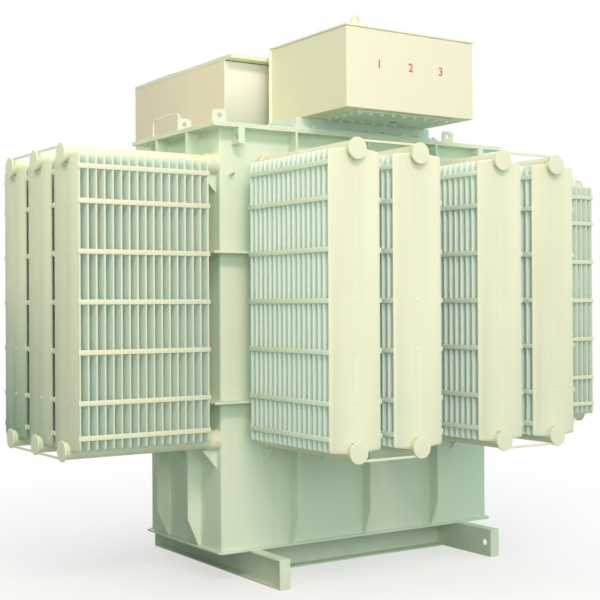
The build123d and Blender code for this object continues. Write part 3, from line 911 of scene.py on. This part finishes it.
# Fittings
def grab_rail():
    """The bent rod as a smooth round tube."""
    low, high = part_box("grab_rail")
    radius = (high.x - low.x) / 2
    bend = RAIL_BEND
    x = (low.x + high.x) / 2
    front, back, top = low.y + radius, high.y - radius, high.z - radius
    route = [(x, front, low.z)]
    for centre, start in ((front + bend, 180.0), (back - bend, 90.0)):
        for step in range(RAIL_BEND_STEPS + 1):
            angle = math.radians(start - step * 90.0 / RAIL_BEND_STEPS)
            route.append((x, centre + bend * math.cos(angle), top - bend + bend * math.sin(angle)))
    route.append((x, back, low.z))
    curve = bpy.data.curves.new("grab_rail", "CURVE")
    curve.dimensions = "3D"
    curve.bevel_depth = radius
    curve.bevel_resolution = 3
    curve.use_fill_caps = True
    spline = curve.splines.new("POLY")
    spline.points.add(len(route) - 1)
    for point, place in zip(spline.points, route):
        point.co = (*place, 1.0)
    rod = link("rod", curve)
    mesh = made_mesh(rod)
    bpy.data.objects.remove(rod)
    shape = bmesh.new()
    shape.from_mesh(mesh)
    for foot in (front, back):
        collar = [(0.0, 0.0), (radius + RAIL_COLLAR, 0.0), (radius + 0.003, 0.003),
                  (radius, RAIL_COLLAR_HEIGHT), (0.0, RAIL_COLLAR_HEIGHT)]
        lathe(shape, collar, (x, foot, low.z), (0.0, 0.0, 1.0), 16)
    bmesh.ops.remove_doubles(shape, verts=shape.verts, dist=1e-6)
    rail = link("grab_rail_round", to_mesh("grab_rail_round", shape, (TANK_PAINT,), 40.0))
    keep(rail, "tank_paint", "grab_rail")


def earth_studs():
    """Painted earthing bosses, each with a washer, a bare threaded stud and a hexagon nut."""
    painted = bmesh.new()
    bare = bmesh.new()
    for low, high in solids_of("earth_studs"):
        out = -1.0 if low.y < 0.0 else 1.0
        foot = high.y if out < 0.0 else low.y
        place = ((low.x + high.x) / 2, foot, (low.z + high.z) / 2)
        reach = high.y - low.y
        radius = (high.x - low.x) / 2
        boss_end, washer_end, nut_end = reach * BOSS_END, reach * STUD_WASHER_END, reach * NUT_END
        boss = [(0.0, 0.0), (radius, 0.0), (radius, reach * 0.40), (radius - 0.0015, boss_end),
                (0.0, boss_end)]
        washer = [(0.0, boss_end), (radius * 0.96, boss_end), (radius * 0.96, washer_end),
                  (0.0, washer_end)]
        nut = [(0.0, washer_end), (radius * 0.86, washer_end), (radius * 0.86, reach * 0.76),
               (radius * 0.7, nut_end), (0.0, nut_end)]
        thread = [(0.0, nut_end)]
        for turn in range(THREAD_TURNS):
            level = reach * (NUT_END + THREAD_PITCH * turn)
            thread += [(radius * 0.44, level), (radius * 0.50, level + reach * (THREAD_PITCH / 2))]
        thread += [(radius * 0.42, reach), (0.0, reach)]
        for shape, profile, segments in (
                (painted, boss, 32), (painted, washer, 28), (bare, nut, 6), (bare, thread, 20)):
            lathe(shape, profile, place, (0.0, out, 0.0), segments)
    keep(link("earth_bosses", to_mesh("earth_bosses", painted, (TANK_PAINT,))), "tank_paint")
    studs = link("earth_studs_dressed", to_mesh("earth_studs_dressed", bare, (STUD_METAL,)))
    keep(studs, "bare_steel", "earth_studs")


def cable_entry():
    """Painted shade: a dark disc inside the hole in the gland plate."""
    holes = [m for m in frame["record"]["mounts"] if m["name"] == "cable_entry"]
    x, y, _ = holes[0]["pos_m"]
    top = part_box("hv_gland_plate")[1].z
    shape = bmesh.new()
    disc = [(0.0, ENTRY_LOW), (ENTRY_RADIUS, ENTRY_LOW), (ENTRY_RADIUS, ENTRY_HIGH), (0.0, ENTRY_HIGH)]
    lathe(shape, disc, (x, y, top), (0.0, 0.0, 1.0), 36)
    keep(link("cable_entry_inside", to_mesh("cable_entry_inside", shape, (HOLE_SHADE_PAINT,))), "box_paint")


def lid_gasket():
    """Dark strip at the front between the low-voltage box and its lid: painted shade in the joint."""
    low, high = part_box("lv_box")
    shape = bmesh.new()
    bar(shape, (low.x + BOX_EDGE, low.y - JOINT_SHADE_PROUD, high.z - JOINT_SHADE_HEIGHT),
        (high.x - BOX_EDGE, low.y + JOINT_SHADE_HEIGHT, high.z - JOINT_SHADE_GAP))
    keep(link("lv_lid_gasket", to_mesh("lv_lid_gasket", shape, (JOINT_SHADE_PAINT,))), "box_paint")


def phase_numbers():
    """Plain red numbers that mark the phases."""
    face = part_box("hv_box")[0].y
    for number, x in enumerate(NUMBER_PLACES, start=1):
        text = bpy.data.curves.new(f"phase_number_{number}", "FONT")
        text.body = str(number)
        text.size = NUMBER_HEIGHT / FIGURE_SHARE
        text.extrude = NUMBER_THICKNESS / 2
        text.offset = NUMBER_BOLD
        text.align_x = "CENTER"
        text.align_y = "CENTER"
        figure = link("figure", text)
        mesh = made_mesh(figure)
        bpy.data.objects.remove(figure)
        place = Matrix.Translation((x, face - NUMBER_THICKNESS / 2, NUMBER_LEVEL))
        mesh.transform(place @ Matrix.Rotation(math.pi / 2, 4, "X"))
        mesh.materials.clear()
        mesh.materials.append(NUMBER_PAINT)
        keep(link(f"phase_number_{number}", mesh), "box_paint")


# Studio
def camera():
    """Camera at the photograph's place, turn and focal length."""
    ahead = Vector((math.sin(EYE_YAW), math.cos(EYE_YAW), 0.0))
    right = Vector((math.cos(EYE_YAW), -math.sin(EYE_YAW), 0.0))
    up = Vector((0.0, 0.0, 1.0))
    view = ahead * math.cos(EYE_PITCH) + up * math.sin(EYE_PITCH)
    rise = up * math.cos(EYE_PITCH) - ahead * math.sin(EYE_PITCH)
    across = right * math.cos(EYE_ROLL) + rise * math.sin(EYE_ROLL)
    rise = rise * math.cos(EYE_ROLL) - right * math.sin(EYE_ROLL)
    data = bpy.data.cameras.new("camera")
    data.sensor_fit = "HORIZONTAL"
    data.sensor_width = SENSOR_MM
    data.lens = FOCAL_PIXELS / IMAGE_PIXELS * SENSOR_MM
    eye = bpy.data.objects.new("camera", data)
    bpy.context.scene.collection.objects.link(eye)
    turn = Matrix((across, rise, -view)).transposed().to_4x4()
    eye.matrix_world = Matrix.Translation(EYE) @ turn
    bpy.context.scene.camera = eye


def white_to_the_eye(tree):
    """1 for rays from the camera, mirrors and glass, and 0 for the light on the object."""
    rays = tree.nodes.new("ShaderNodeLightPath").outputs
    seen = calculate(tree, "MAXIMUM", rays["Is Camera Ray"], rays["Is Glossy Ray"])
    return calculate(tree, "MAXIMUM", seen, rays["Is Transmission Ray"])


def studio():
    """Pale floor, white surroundings, soft lamps and a fill that is dimmer from the back left."""
    scene = bpy.context.scene
    scene.view_settings.view_transform = "Standard"
    world = bpy.data.worlds.new("studio")
    scene.world = world
    world.use_nodes = True
    tree = world.node_tree
    tree.nodes.clear()
    way = tree.nodes.new("ShaderNodeTexCoord").outputs["Generated"]
    leftward = add_node(tree, "ShaderNodeVectorMath", {0: way, 1: BACK_LEFT}, operation="DOT_PRODUCT")
    strength = remap(tree, leftward.outputs["Value"], *BACK_LEFT_RANGE, FILL_STRENGTH, FILL_STRENGTH_LEFT)
    fill = add_node(tree, "ShaderNodeBackground", {"Color": FILL_COLOUR, "Strength": strength})
    white = add_node(tree, "ShaderNodeBackground", {"Color": WHITE, "Strength": 1.0})
    both = add_node(tree, "ShaderNodeMixShader", {
        0: white_to_the_eye(tree), 1: fill.outputs[0], 2: white.outputs[0]})
    tree.links.new(both.outputs[0], tree.nodes.new("ShaderNodeOutputWorld").inputs[0])

    for name, (place, (width, height), power, colour) in LAMPS.items():
        light = bpy.data.lights.new(name, "AREA")
        light.shape = "RECTANGLE"
        light.size = width
        light.size_y = height
        light.energy = power
        light.color = colour
        lamp = bpy.data.objects.new(name, light)
        scene.collection.objects.link(lamp)
        lamp.location = place
        lamp.rotation_euler = (LAMP_AIM - place).to_track_quat("-Z", "Y").to_euler()

    material, tree, output = blank_material("floor")
    place = tree.nodes.new("ShaderNodeTexCoord").outputs["Object"]
    far = add_node(tree, "ShaderNodeVectorMath", {0: place}, operation="LENGTH").outputs["Value"]
    bounce = tint(tree, remap(tree, far, *BOUNCE_RANGE, 0.0, 1.0), BOUNCE_NEAR, BOUNCE_FAR)
    matt = add_node(tree, "ShaderNodeBsdfDiffuse", {
        "Color": tint(tree, white_to_the_eye(tree), bounce, FLOOR_COLOUR)})
    glow = add_node(tree, "ShaderNodeEmission", {"Color": WHITE, "Strength": 1.0})
    fade = remap(tree, far, *FADE_RANGE, FADE_NEAR, 1.0)
    amount = calculate(tree, "MULTIPLY", fade, white_to_the_eye(tree))
    mix = add_node(tree, "ShaderNodeMixShader", {0: amount, 1: matt.outputs[0], 2: glow.outputs[0]})
    tree.links.new(mix.outputs[0], output.inputs[0])
    shape = bmesh.new()
    bmesh.ops.create_grid(shape, x_segments=1, y_segments=1, size=FLOOR_SIZE)
    floor = link("floor", to_mesh("floor", shape, (material,)))


# Every piece in turn
def main():
    camera()
    studio()
    radiators()
    headers()
    tank_shell()
    for node in ("base_plate", "rim_flange", "cover", "tank_rings", "wall_ribs", "cover_lugs",
                 "lifting_lugs"):
        dress(node, TANK_PAINT, "tank_paint", PLATE_EDGE)
    dress("header_gussets", TANK_PAINT, "radiator_paint", SMALL_EDGE)
    dress("header_tie_bars", RADIATOR_PAINT, "radiator_paint", SMALL_EDGE)
    for node in ("left_beam", "right_beam", "beam_end_plates", "cross_beams"):
        dress(node, FRAME_PAINT, "frame_paint", PLATE_EDGE)
    dress("hv_box", BOX_PAINT, "box_paint", BOX_EDGE)
    dress("lv_box", LV_PAINT, "box_paint", BOX_EDGE)
    for node in ("hv_lid", "hv_lugs", "lv_lid"):
        dress(node, BOX_PAINT, "box_paint", PLATE_EDGE)
    # Neck and gland plates under the boxes take the green paint as painted shade
    for node in ("hv_neck", "hv_gland_plate", "lv_gland_plate"):
        dress(node, SHADE_GREEN_PAINT, "box_paint", PLATE_EDGE)
    weld_seams()
    bolts()
    grab_rail()
    earth_studs()
    cable_entry()
    lid_gasket()
    phase_numbers()


main()
